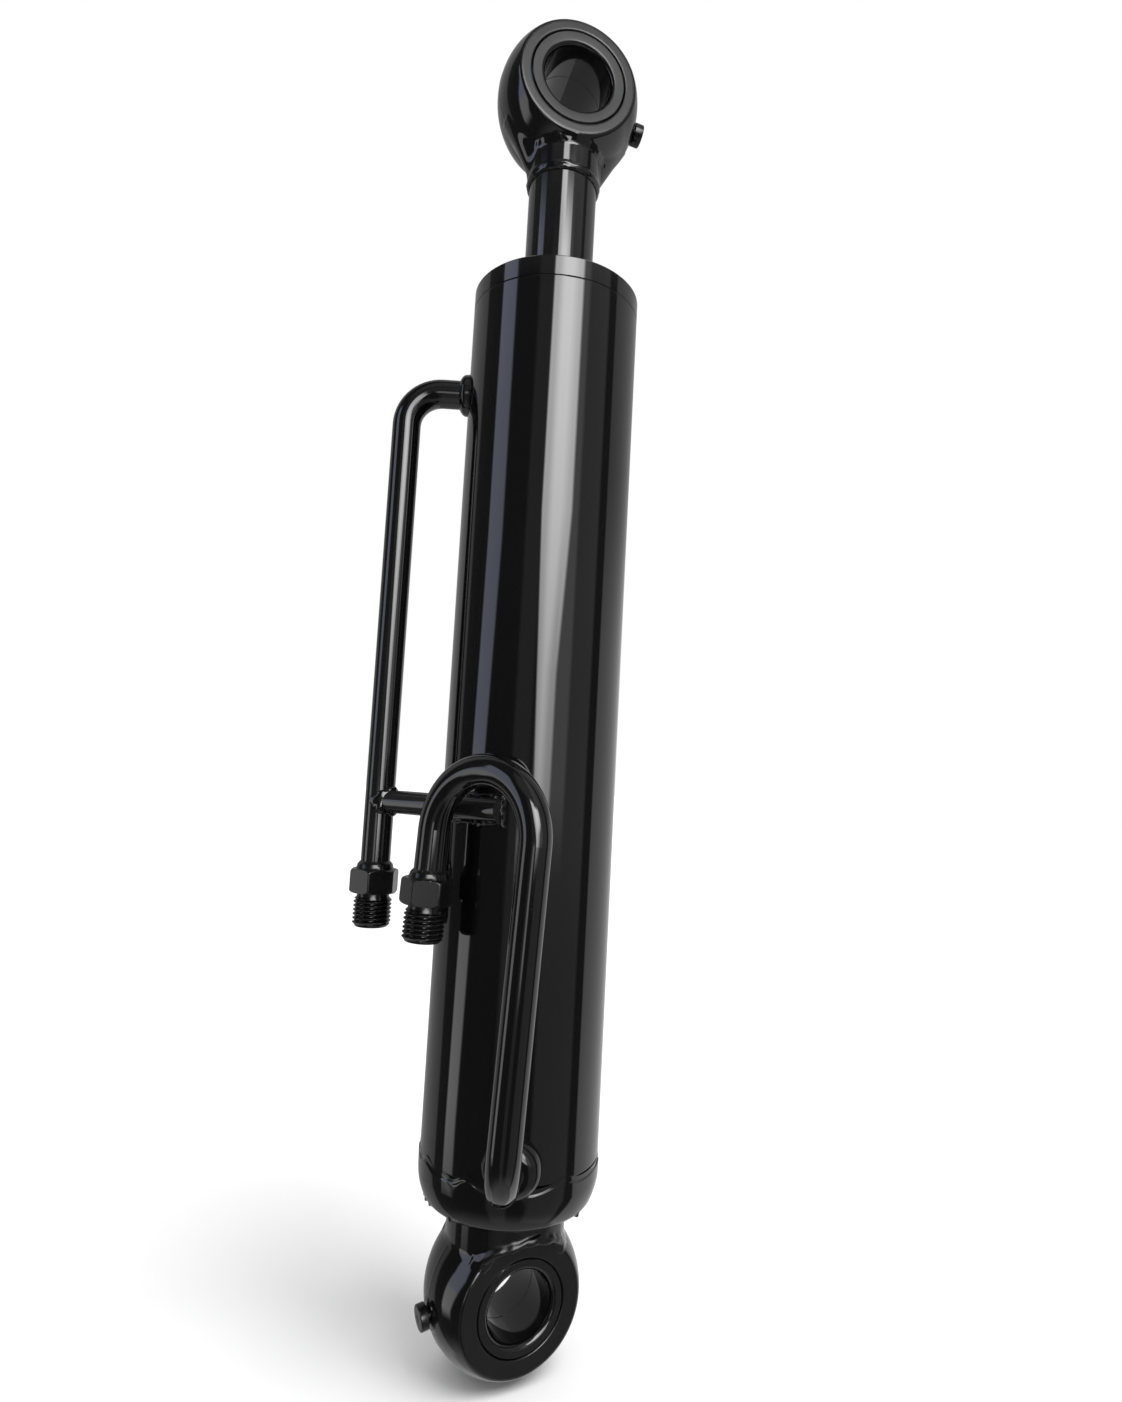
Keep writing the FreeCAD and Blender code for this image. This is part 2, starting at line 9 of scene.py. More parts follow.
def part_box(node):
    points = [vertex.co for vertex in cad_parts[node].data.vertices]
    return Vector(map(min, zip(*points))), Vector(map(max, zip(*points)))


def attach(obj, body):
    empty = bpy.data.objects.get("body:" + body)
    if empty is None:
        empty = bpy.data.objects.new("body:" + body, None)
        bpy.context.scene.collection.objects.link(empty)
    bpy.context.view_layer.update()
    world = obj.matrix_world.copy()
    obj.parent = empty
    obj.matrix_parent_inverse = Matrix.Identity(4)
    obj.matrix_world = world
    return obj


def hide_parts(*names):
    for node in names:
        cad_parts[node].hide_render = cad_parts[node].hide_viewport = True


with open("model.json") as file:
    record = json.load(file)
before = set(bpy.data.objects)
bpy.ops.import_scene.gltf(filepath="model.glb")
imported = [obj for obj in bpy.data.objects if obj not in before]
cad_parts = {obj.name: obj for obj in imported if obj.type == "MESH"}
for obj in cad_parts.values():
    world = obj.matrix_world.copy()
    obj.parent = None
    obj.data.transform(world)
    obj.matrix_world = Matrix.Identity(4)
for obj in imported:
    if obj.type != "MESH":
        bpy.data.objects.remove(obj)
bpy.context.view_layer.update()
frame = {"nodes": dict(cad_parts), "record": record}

# Looks of a gloss-black welded hydraulic cylinder. The scene is in metres, in the CAD's row
# frame: the origin is the base eye's bore centre, +Z runs to the rod eye, and +Y is the base
# eye's bore. Shape functions work in millimetres, and make_object turns them into metres.

MM = 0.001

# ---- sizes in millimetres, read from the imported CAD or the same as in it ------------
MOUNTS = {mount["name"]: mount for mount in frame["record"]["mounts"]}


def low_mm(node):
    """Low corner of a CAD node's box."""
    return np.array(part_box(node)[0]) / MM


def high_mm(node):
    """High corner of a CAD node's box."""
    return np.array(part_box(node)[1]) / MM


def mount_mm(name):
    """Position of a mount."""
    return np.array(MOUNTS[name]["pos_m"]) / MM


BARREL_R = 47.5
BORE_R = 40.0
BARREL_LOW = low_mm("barrel_tube")[2]
TUBE_TOP = high_mm("barrel_tube")[2]
GLAND_TOP = high_mm("gland")[2]
ROD_R = 20.0
PIPE_R = 8.0
PIPE_BORE_R = 6.0
STAY_R = 6.25

FACE_EDGE = 1.3
BUSH_GAP = 0.35
BASE_EYE_R = -low_mm("base_eye")[2]
BASE_EYE_HALF = high_mm("base_eye_bush")[1]
BASE_BUSH_R = 23.5
BASE_PIN_R = MOUNTS["base_pin"]["dims"]["r_mm"]
BASE_NECK_R = 31.5
CAP_LOW = 46.0
BASE_PLUG_LIFT_DEG = -9.0

ROD_EYE_Z = mount_mm("rod_pin")[2]
ROD_EYE_R = 42.0
ROD_EYE_HALF = 24.0
ROD_BUSH_R = 27.5
ROD_PIN_R = MOUNTS["rod_pin"]["dims"]["r_mm"]
ROD_NECK_R = 21.5
ROD_NECK_LOW = high_mm("rod")[2] - ROD_EYE_Z
ROD_NECK_TOP = ROD_NECK_LOW + 6.0
ROD_PLUG_LIFT_DEG = -7.0
ROD_EYE_TURN = -math.atan2(MOUNTS["rod_pin"]["axis"][0], MOUNTS["rod_pin"]["axis"][1])

HEAD_PORT_DEG = 154.0
HEAD_PORT_Z = 485.5
HEAD_LEG = mount_mm("head_port")[:2]
BASE_PORT_DEG = 242.0
BASE_PORT_Z = 79.0
STAY_Z = 250.0
FITTING_TOP = high_mm("head_pipe_fitting")[2]
FITTING_END = low_mm("head_pipe_fitting")[2]
HEX_FLATS = 23.6
HEX_TURNED_R = 13.5
HEX_HEIGHT = 13.0
HEX_CHAMFER = 1.9
CONE_HEIGHT = 4.0
UNDERCUT = 3.0
THREAD_R = MOUNTS["head_port"]["dims"]["r_mm"]
THREAD_PITCH = 2.2
THREAD_DEPTH = 1.25


# =====================================================================================
# Mesh making
# =====================================================================================
def make_object(name, points, faces, look, body, replaced, smooth_deg=40):
    """A mesh piece from points in millimetres, which rides on a body and stands for CAD nodes."""
    mesh = bpy.data.meshes.new(name)
    mesh.from_pydata((np.asarray(points) * MM).tolist(), [], np.asarray(faces).tolist())
    mesh.update()
    piece = bpy.data.objects.new(name, mesh)
    bpy.context.scene.collection.objects.link(piece)
    mesh.shade_smooth()
    mesh.set_sharp_from_angle(angle=math.radians(smooth_deg))
    mesh.materials.append(look.material)
    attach(piece, body)
    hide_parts(*replaced)


def around(turn, radius, height):
    """Points from arrays of turns about Z and heights, at a radius or an array of radii."""
    return np.stack([radius * np.cos(turn), radius * np.sin(turn), height], axis=-1).reshape(-1, 3)


def lathe(outline, segments, bend=None):
    """Closed outline of (radius, height) turned about Z; bend may move (turn, radius, height)."""
    outline = np.asarray(outline, float)
    angle = np.arange(segments) * (2 * math.pi / segments)
    turn, radius = np.meshgrid(angle, outline[:, 0])
    height = np.repeat(outline[:, 1:], segments, axis=1)
    if bend is not None:
        radius, height = bend(turn, radius, height)
    rows = len(outline)
    row, column = np.meshgrid(np.arange(rows), np.arange(segments), indexing="ij")
    following = (column + 1) % segments
    above = (row + 1) % rows
    faces = np.stack([row * segments + column, row * segments + following,
                      above * segments + following, above * segments + column], axis=-1)
    return around(turn, radius, height), faces.reshape(-1, 4)


def rounded(corners, radius, steps=4):
    """Closed outline with each corner eased to a short arc; a corner may bring its own radius."""
    result = []
    count = len(corners)
    for index in range(count):
        corner = Vector(corners[index][:2])
        own = corners[index][2] if len(corners[index]) > 2 else radius
        before = Vector(corners[index - 1][:2]) - corner
        after = Vector(corners[(index + 1) % count][:2]) - corner
        turn = before.angle(after, math.pi)
        cut = min(own / max(math.tan(turn / 2), 1e-3), 0.45 * before.length, 0.45 * after.length)
        start = corner + before.normalized() * cut
        end = corner + after.normalized() * cut
        for step in range(steps + 1):
            t = step / steps
            point = start * (1 - t) ** 2 + corner * (2 * t * (1 - t)) + end * t ** 2
            result.append((point.x, point.y))
    return result


def along(direction):
    """3x3 rotation that takes +Z to a direction."""
    return np.array(Vector((0, 0, 1)).rotation_difference(Vector(direction)).to_matrix())


def turned_z(angle):
    """3x3 rotation about Z."""
    return np.array(Matrix.Rotation(angle, 3, "Z"))


def placed(points, rotation, origin=(0, 0, 0)):
    """Points turned by a 3x3 rotation and moved to an origin."""
    return np.asarray(points) @ np.asarray(rotation).T + np.asarray(origin)


def polar(radius, angle_deg, height=0.0):
    """Point at a radius and direction about the Z axis."""
    angle = math.radians(angle_deg)
    return np.array([radius * math.cos(angle), radius * math.sin(angle), height])


def crossing_cells(value):
    """Number of each grid cell that the zero surface crosses, and its point in grid steps."""
    inside = value < 0
    cells = tuple(size - 1 for size in value.shape)

    def take(data, o):
        return data[o[0]:o[0] + cells[0], o[1]:o[1] + cells[1], o[2]:o[2] + cells[2]]

    total = np.zeros(cells + (3,))
    crossings = np.zeros(cells)
    for a in [(i, j, k) for i in (0, 1) for j in (0, 1) for k in (0, 1)]:
        for axis in range(3):
            if a[axis]:
                continue
            b = tuple(a[k] + (k == axis) for k in range(3))
            va, vb = take(value, a), take(value, b)
            crossed = take(inside, a) != take(inside, b)
            t = np.where(crossed, va / np.where(crossed, va - vb, 1), 0)
            for k in range(3):
                total[..., k] += np.where(crossed, a[k] + (t if k == axis else 0), 0)
            crossings += crossed
    used = crossings > 0
    number = np.full(cells, -1)
    number[used] = np.arange(used.sum())
    return number, np.argwhere(used) + total[used] / crossings[used][:, None]


def pulled_onto(distance, points, step):
    """Points moved along the slope of a distance until they lie on its zero surface."""
    reach = 0.2 * step
    for _ in range(3):
        here = distance(points)
        slope = np.stack([(distance(points + e) - distance(points - e)) / (2 * reach)
                          for e in np.eye(3) * reach], axis=1)
        length = np.maximum((slope ** 2).sum(axis=1), 0.05)
        points = points - slope * np.clip(here / length, -0.5 * step, 0.5 * step)[:, None]
    return points


def crossing_faces(inside, number):
    """A quad of four cells' points round each grid edge that the surface crosses."""
    faces = []
    for axis in range(3):
        u, v = [k for k in range(3) if k != axis]
        first = [slice(1, -1)] * 3
        first[axis] = slice(0, inside.shape[axis] - 1)
        second = list(first)
        second[axis] = slice(1, inside.shape[axis])
        flips = np.argwhere(inside[tuple(first)] != inside[tuple(second)])
        flips[:, u] += 1
        flips[:, v] += 1
        quads = []
        for du, dv in ((-1, -1), (0, -1), (0, 0), (-1, 0)):
            cell = flips.copy()
            cell[:, u] += du
            cell[:, v] += dv
            quads.append(number[tuple(cell.T)])
        quads = np.stack(quads, axis=1)
        outward = inside[tuple(flips.T)]
        if axis == 1:
            outward = ~outward
        quads[~outward] = quads[~outward][:, ::-1]
        faces.append(quads)
    return np.concatenate(faces)


def surface(distance, low, high, step):
    """Mesh of the zero surface of a signed distance, negative inside, by surface nets."""
    low = np.array(low, float)
    counts = np.ceil((np.array(high, float) - low) / step).astype(int) + 1
    axes = [low[k] + step * np.arange(counts[k]) for k in range(3)]
    grid = np.stack(np.meshgrid(*axes, indexing="ij"), axis=-1)
    value = distance(grid.reshape(-1, 3)).reshape(counts)
    number, cell_points = crossing_cells(value)
    points = pulled_onto(distance, low + step * cell_points, step)
    return points, crossing_faces(value < 0, number)


# ---- signed distances, in millimetres -----------------------------------------------
def joined(a, b, radius):
    """Union of two distances with a fillet of about that radius."""
    mix = np.clip(0.5 + 0.5 * (b - a) / radius, 0, 1)
    return b * (1 - mix) + a * mix - radius * mix * (1 - mix)


def common(a, b, radius):
    """Common part of two distances with a rounded edge."""
    return -joined(-a, -b, radius)


def about_z(p):
    """Distance to the Z axis."""
    return np.hypot(p[:, 0], p[:, 1])


def about_y(p):
    """Distance to the Y axis."""
    return np.hypot(p[:, 0], p[:, 2])


def line_distance(p, origin, direction):
    """Distance to a line, and how far along it."""
    offset = p - origin
    reach = offset @ direction
    return np.linalg.norm(offset - reach[:, None] * direction, axis=1), reach


def wobble(p, size, seed, octaves=3):
    """Smooth unevenness between about -1 and 1 with features of a given size."""
    total = np.zeros(len(p))
    source = np.random.RandomState(seed)
    for octave in range(octaves):
        wave = source.normal(size=(5, 3))
        wave *= (2 * math.pi / size) * (1.7 ** octave) / np.linalg.norm(wave, axis=1, keepdims=True)
        phase = source.uniform(0, 2 * math.pi, 5)
        total += np.sin(p @ wave.T + phase).sum(axis=1) / (3 * 1.6 ** octave)
    return total


def bead(a, b, radius, p, size, seed, lumps):
    """Weld bead where two surfaces meet; its radius varies by the share lumps over a size."""
    return np.hypot(a, b) - radius * (1 + lumps * wobble(p, size, seed))


# =====================================================================================
# Materials
# =====================================================================================
PAINT_BLACK = (0.0018, 0.0018, 0.0019)
SATIN_BLACK = (0.003, 0.003, 0.0031)
RUBBED_PAINT = (0.012, 0.012, 0.012)
RUBBED_SATIN = (0.04, 0.04, 0.04)
PAINT_COAT = 0.3
NO, YES = (0, 0, 0), (1, 1, 1)


def scaled(colour, factor):
    """A colour made lighter or darker."""
    return tuple(factor * channel for channel in colour)


class Graph:
    """Short makers for a node tree's nodes. A value is a number or a socket."""

    def __init__(self, tree):
        self.nodes = tree.nodes
        self.links = tree.links

    def feed(self, socket, value):
        """Set a number on a socket, or link another socket to it."""
        if isinstance(value, (int, float)):
            socket.default_value = value
        else:
            self.links.new(value, socket)

    def math(self, operation, *values):
        """One operation on one, two or three values."""
        node = self.nodes.new("ShaderNodeMath")
        node.operation = operation
        for socket, value in zip(node.inputs, values):
            self.feed(socket, value)
        return node.outputs[0]

    def colour_mix(self, factor, first, second):
        """Mix of two colours; each is a socket or an (r, g, b)."""
        mix = self.nodes.new("ShaderNodeMix")
        mix.data_type = "RGBA"
        self.links.new(factor, mix.inputs["Factor"])
        for label, value in (("A", first), ("B", second)):
            socket = [s for s in mix.inputs if s.name == label and s.type == "RGBA"][0]
            if isinstance(value, tuple):
                socket.default_value = (*value, 1.0)
            else:
                self.links.new(value, socket)
        return [s for s in mix.outputs if s.type == "RGBA"][0]


class Look(Graph):
    """A material, whose patterns lie in object coordinates."""

    def __init__(self, name):
        self.material = bpy.data.materials.new(name)
        self.material.use_nodes = True
        super().__init__(self.material.node_tree)
        self.shader = self.nodes["Principled BSDF"]

    def set(self, label, value):
        """Give the shader's input a value."""
        self.feed(self.shader.inputs[label], value)

    def current(self, label):
        """The socket that feeds the shader's input so far."""
        return self.shader.inputs[label].links[0].from_socket

    def place(self):
        """Object coordinates, in metres."""
        return self.nodes.new("ShaderNodeTexCoord").outputs["Object"]

    def axes(self, vector):
        """The X, Y and Z of a vector."""
        parts = self.nodes.new("ShaderNodeSeparateXYZ")
        self.links.new(vector, parts.inputs[0])
        return parts.outputs

    def noise(self, scale, detail, roughness=0.55, stretch=None):
        """Noise of about scale features to a metre."""
        where = self.place()
        if stretch:
            mapping = self.nodes.new("ShaderNodeMapping")
            mapping.inputs["Scale"].default_value = stretch
            self.links.new(where, mapping.inputs["Vector"])
            where = mapping.outputs["Vector"]
        noise = self.nodes.new("ShaderNodeTexNoise")
        noise.inputs["Scale"].default_value = scale
        noise.inputs["Detail"].default_value = detail
        noise.inputs["Roughness"].default_value = roughness
        self.links.new(where, noise.inputs["Vector"])
        return noise.outputs["Fac"]

    def ramp(self, source, *stops):
        """Colours between two stops, each (position, colour)."""
        ramp = self.nodes.new("ShaderNodeValToRGB")
        for element, (position, colour) in zip(ramp.color_ramp.elements, stops):
            element.position = position
            element.color = (*colour, 1.0)
        self.links.new(source, ramp.inputs["Fac"])
        return ramp.outputs["Color"]

    def spread(self, source, low, high, start, end):
        """Linear map of a value from low..high to start..end."""
        node = self.nodes.new("ShaderNodeMapRange")
        for label, value in (("From Min", low), ("From Max", high), ("To Min", start), ("To Max", end)):
            node.inputs[label].default_value = value
        self.links.new(source, node.inputs["Value"])
        return node.outputs["Result"]

    def edges(self, low, high):
        """Mask of the convex edges, where handling rubs the paint."""
        shape = self.nodes.new("ShaderNodeNewGeometry")
        return self.ramp(shape.outputs["Pointiness"], (low, NO), (high, YES))

    def bump(self, height, strength, distance, normal=None):
        """Bump of a distance in millimetres, on top of another normal if there is one."""
        bump = self.nodes.new("ShaderNodeBump")
        bump.inputs["Strength"].default_value = strength
        bump.inputs["Distance"].default_value = distance * MM
        self.links.new(height, bump.inputs["Height"])
        if normal is not None:
            self.links.new(normal, bump.inputs["Normal"])
        return bump.outputs["Normal"]

    def turning_marks(self, across, up):
        """Fine rings about the axis that two coordinates are measured from."""
        point = self.nodes.new("ShaderNodeCombineXYZ")
        self.links.new(across, point.inputs["X"])
        self.links.new(up, point.inputs["Y"])
        radius = self.nodes.new("ShaderNodeVectorMath")
        radius.operation = "LENGTH"
        self.links.new(point.outputs[0], radius.inputs[0])
        marks = self.nodes.new("ShaderNodeTexNoise")
        marks.noise_dimensions = "1D"
        marks.inputs["Scale"].default_value = 2600.0
        marks.inputs["Detail"].default_value = 2.0
        self.links.new(radius.outputs["Value"], marks.inputs["W"])
        return marks.outputs["Fac"]


def painted(name, rough=(0.035, 0.08), peel=0.006, waves=0.08):
    """Sprayed gloss paint: faint orange peel, long waves, dust specks and thin paint on edges."""
    look = Look(name)
    colour = look.ramp(look.noise(9.0, 4.0), (0.35, PAINT_BLACK), (0.75, scaled(PAINT_BLACK, 1.7)))
    worn = look.colour_mix(look.edges(0.54, 0.66), colour, RUBBED_PAINT)
    specks = look.ramp(look.noise(260.0, 1.0, 0.4), (0.80, NO), (0.86, YES))
    look.set("Base Color", look.colour_mix(specks, worn, RUBBED_PAINT))
    smears = look.noise(14.0, 5.0, 0.6, (1.0, 1.0, 0.25))
    look.set("Roughness", look.spread(smears, 0.25, 0.75, *rough))
    wavy = look.bump(look.noise(38.0, 1.0, 0.4, (1.0, 1.0, 0.3)), waves, 0.6)
    look.set("Normal", look.bump(look.noise(650.0, 2.0), peel, 0.2, wavy))
    look.set("IOR", 1.5)
    look.set("Coat Weight", PAINT_COAT)
    look.set("Coat Roughness", 0.03)
    return look


def satin(name, rough, grain):
    """Black satin over a machined surface: fine grain, cloudy gloss and rubbed edges."""
    look = Look(name)
    colour = look.ramp(look.noise(22.0, 4.0), (0.3, SATIN_BLACK), (0.75, scaled(SATIN_BLACK, 1.7)))
    look.set("Base Color", look.colour_mix(look.edges(0.53, 0.64), colour, RUBBED_SATIN))
    look.set("Roughness", look.spread(look.noise(60.0, 4.0), 0.3, 0.7, *rough))
    look.set("Normal", look.bump(look.noise(420.0, 3.0, 0.6), grain, 0.15))
    return look


def eye_paint(name, half, centre_z, turn):
    """Gloss on the ball and satin on the two machined faces, which show faint turning marks."""
    look = painted(name, rough=(0.04, 0.09))
    local = look.nodes.new("ShaderNodeMapping")
    local.vector_type = "TEXTURE"
    local.inputs["Location"].default_value = (0, 0, centre_z * MM)
    local.inputs["Rotation"].default_value = (0, 0, turn)
    look.links.new(look.place(), local.inputs["Vector"])
    across, depth, up = look.axes(local.outputs["Vector"])
    depth = look.math("ABSOLUTE", depth)
    on_face = look.spread(depth, (half - 0.25) * MM, (half - 0.05) * MM, 0.0, 1.0)
    blend = look.nodes.new("ShaderNodeMix")
    look.links.new(on_face, blend.inputs["Factor"])
    look.links.new(look.current("Roughness"), blend.inputs["A"])
    look.links.new(look.spread(look.noise(80.0, 3.0), 0.3, 0.7, 0.28, 0.34), blend.inputs["B"])
    look.set("Roughness", blend.outputs["Result"])
    look.set("Coat Weight", look.math("MULTIPLY_ADD", on_face, -PAINT_COAT, PAINT_COAT))
    marks = look.math("MULTIPLY", look.turning_marks(across, up), on_face)
    look.set("Normal", look.bump(marks, 0.04, 0.1, look.current("Normal")))
    return look


def rod_finish(name, paint_low):
    """Gloss paint on the end that stands out of the closed cylinder, hard chrome on the rest."""
    look = painted(name, waves=0.05)
    _, _, height = look.axes(look.place())
    ragged = look.math("MULTIPLY_ADD", look.noise(90.0, 3.0), 0.8 * MM, height)
    level = (paint_low - 0.6) * MM
    paint = look.spread(ragged, level, level + 0.1 * MM, 0.0, 1.0)
    polish = look.noise(30.0, 4.0, 0.6, (1.0, 1.0, 8.0))
    chrome = look.ramp(polish, (0.3, (0.52, 0.53, 0.55)), (0.7, (0.62, 0.63, 0.64)))
    look.set("Base Color", look.colour_mix(paint, chrome, look.current("Base Color")))
    look.set("Metallic", look.spread(paint, 0.0, 1.0, 1.0, 0.0))
    return look


def metal(name, colour, rough, stretch):
    """Machined metal with fine tool marks and uneven polish."""
    look = Look(name)
    look.set("Base Color", look.ramp(look.noise(40.0, 4.0), (0.3, scaled(colour, 0.8)), (0.7, colour)))
    marks = look.noise(300.0, 2.0, 0.5, stretch)
    look.set("Roughness", look.spread(marks, 0.3, 0.7, *rough))
    look.set("Normal", look.bump(marks, 0.12, 0.1))
    look.set("Metallic", 1.0)
    return look


def moulded(name, colour, rough):
    """Moulded rubber or resin: mottled colour and a fine matt grain."""
    look = Look(name)
    look.set("Base Color", look.ramp(look.noise(70.0, 4.0), (0.3, scaled(colour, 0.7)), (0.7, colour)))
    grain = look.noise(900.0, 3.0)
    look.set("Roughness", look.spread(grain, 0.3, 0.7, *rough))
    look.set("Normal", look.bump(grain, 0.15, 0.1))
    return look


PAINT = painted("gloss_black_paint")
BARREL_PAINT = painted("gloss_black_barrel", rough=(0.03, 0.07), peel=0.004, waves=0.06)
PIPE_PAINT = painted("gloss_black_pipe", rough=(0.05, 0.10))
WELD_PAINT = painted("gloss_black_weld", rough=(0.05, 0.11), peel=0.01, waves=0.2)
BASE_EYE_PAINT = eye_paint("base_eye_paint", BASE_EYE_HALF, 0.0, 0.0)
ROD_EYE_PAINT = eye_paint("rod_eye_paint", ROD_EYE_HALF, ROD_EYE_Z, ROD_EYE_TURN)
BUSH_SATIN = satin("black_bush_satin", (0.20, 0.30), 0.05)
BASE_BUSH_LOOK = eye_paint("base_bush_black", BASE_EYE_HALF, 0.0, 0.0)
ROD_BUSH_LOOK = eye_paint("rod_bush_black", ROD_EYE_HALF, ROD_EYE_Z, ROD_EYE_TURN)
FITTING_SATIN = satin("black_fitting_satin", (0.19, 0.24), 0.015)
ROD_FINISH = rod_finish("painted_chrome_rod", GLAND_TOP)
MACHINED = metal("machined_steel", (0.50, 0.50, 0.50), (0.25, 0.45), (1.0, 1.0, 6.0))
RUBBER = moulded("seal_rubber", (0.020, 0.020, 0.022), (0.55, 0.75))
RESIN = moulded("guide_resin", (0.22, 0.13, 0.06), (0.45, 0.60))

SLOT_LOOKS = {
    "black_paint": PAINT, "painted_rod": ROD_FINISH, "black_bush": BUSH_SATIN,
    "black_fitting": FITTING_SATIN, "machined_steel": MACHINED, "seal_rubber": RUBBER,
    "guide_resin": RESIN,
}
for part in frame["record"]["subparts"]:
    node = frame["nodes"][part["node"]]
    node_look = SLOT_LOOKS[part["material_slot"]]
    if part["node"].endswith("_pipe") or part["node"] == "pipe_stay":
        node_look = PIPE_PAINT
    node.data.materials.clear()
    node.data.materials.append(node_look.material)


# =====================================================================================
# Barrel
# =====================================================================================
def barrel_tube():
    """Tube with eased ends, so that a fine seam shows under the gland's flange."""
    low, high = BARREL_LOW + 0.2, TUBE_TOP - 0.05
    outline = rounded([(BORE_R, low), (BARREL_R, low, 0.6), (BARREL_R, high, 0.7), (BORE_R, high)], 0.3)
    middle = len(outline) // 2
    rows = [low + 1.1, low + 1.55, *np.linspace(low + 2, high - 2, 60), high - 1.55, high - 1.1]
    outline[middle:middle] = [(BARREL_R, z) for z in rows]

    def bend(turn, radius, height):
        uneven = wobble(around(turn, 50, 0.3 * height), 60.0, 3, 2).reshape(turn.shape)
        outer = radius > BARREL_R - 1
        return radius + np.where(outer, 0.010 * (uneven - 1), 0), height

    points, faces = lathe(outline, 288, bend)
    make_object("barrel_tube_detail", points, faces, BARREL_PAINT, "barrel", ["barrel_tube"],
                30)


def arc_points(centre, radius, start_deg, end_deg, steps):
    """Points of a circular arc of an outline, from +radius towards +height."""
    angles = np.radians(np.linspace(start_deg, end_deg, steps))
    return [(centre[0] + radius * math.cos(a), centre[1] + radius * math.sin(a)) for a in angles]


def base_dome():
    """Domed cap and its weld: tight lower corner, wavy weld edge and a few drips under the corner."""
    wide = BARREL_R + 0.5
    side_r, corner_r, corner_deg = 31.6, 5.2, -24.3
    side = (wide - side_r, CAP_LOW + 17.0)
    toward = math.radians(corner_deg)
    inward = side_r - corner_r
    corner = (side[0] + inward * math.cos(toward), side[1] + inward * math.sin(toward))
    outline = [(BASE_NECK_R - 2, CAP_LOW + 3), (BASE_NECK_R - 2, CAP_LOW - 0.2),
               (BASE_NECK_R + 1.5, CAP_LOW + 0.1)]
    outline += [(r, CAP_LOW + 0.3) for r in np.linspace(BASE_NECK_R + 3, corner[0] - 2.5, 6)]
    outline += arc_points(corner, corner_r, -90, corner_deg, 12)
    outline += arc_points(side, side_r, corner_deg, -3, 22)[1:]
    outline += [(wide, BARREL_LOW - 4.0), (wide, BARREL_LOW - 3.2)]
    outline += arc_points((BARREL_R - 0.3, BARREL_LOW - 2.6), 0.8, 0, 60, 4)
    outline += [(BARREL_R + 0.02, BARREL_LOW - 1.2 + 0.4 * k) for k in range(5)]
    outline += [(BARREL_R - 5, BARREL_LOW), (BARREL_R - 5, CAP_LOW + 12)]
    # Each drip's direction about the axis in degrees and its size, on the slope of the corner.
    drips = [(167.0, 1.1), (174.0, 1.3), (182.0, 1.0), (206.0, 1.3),
             (299.0, 1.4), (22.0, 1.2), (78.0, 1.0), (120.0, 1.2)]
    slope = math.radians(-50)
    out, down = math.cos(slope), math.sin(slope)
    drip_r, drip_z = corner[0] + corner_r * out, corner[1] + corner_r * down

    def bend(turn, radius, height):
        coarse = wobble(around(turn, radius, 0.4 * height), 19.0, 11, 2).reshape(turn.shape)
        seen = radius > BASE_NECK_R + 2
        edge = np.clip((height - (BARREL_LOW - 9)) / 6, 0, 1) * seen
        body = np.clip((height - 49) / 6, 0, 1) * seen
        radius = radius + 0.09 * body * coarse + 0.22 * edge * coarse
        height = height + 2.2 * edge * coarse
        for angle_deg, size in drips:
            across = np.angle(np.exp(1j * (turn - math.radians(angle_deg)))) * radius
            apart = across ** 2 + (height - drip_z) ** 2 + (radius - drip_r) ** 2
            bump = size * np.exp(-apart / (0.9 * size) ** 2) * seen
            radius = radius + out * bump
            height = height + down * bump
        return radius, height

    points, faces = lathe(outline, 576, bend)
    make_object("base_dome", points, faces, PAINT, "barrel", ["base_cap", "base_weld"], 60)


# =====================================================================================
# Eyes
# =====================================================================================
def forged_ball(p, radius):
    """Forged ball with a faint parting line round its middle."""
    ball = np.linalg.norm(p, axis=1) - radius
    return ball - 0.14 * np.exp(-(p[:, 1] / 0.8) ** 2) + 0.025 * wobble(p, 30.0, 21, 2)


def along_plug(side, lift_deg):
    """Direction of a grease plug in its eye's own frame."""
    lift = math.radians(lift_deg)
    return np.array([side * math.cos(lift), 0.0, math.sin(lift)])


def plug_boss(p, direction, radius, top, rough, seed):
    """Uneven round pad under a grease plug."""
    beside, out = line_distance(p, np.zeros(3), direction)
    return np.maximum(beside - radius + rough * wobble(p, 8.0, seed), np.maximum(out - top, 20 - out))


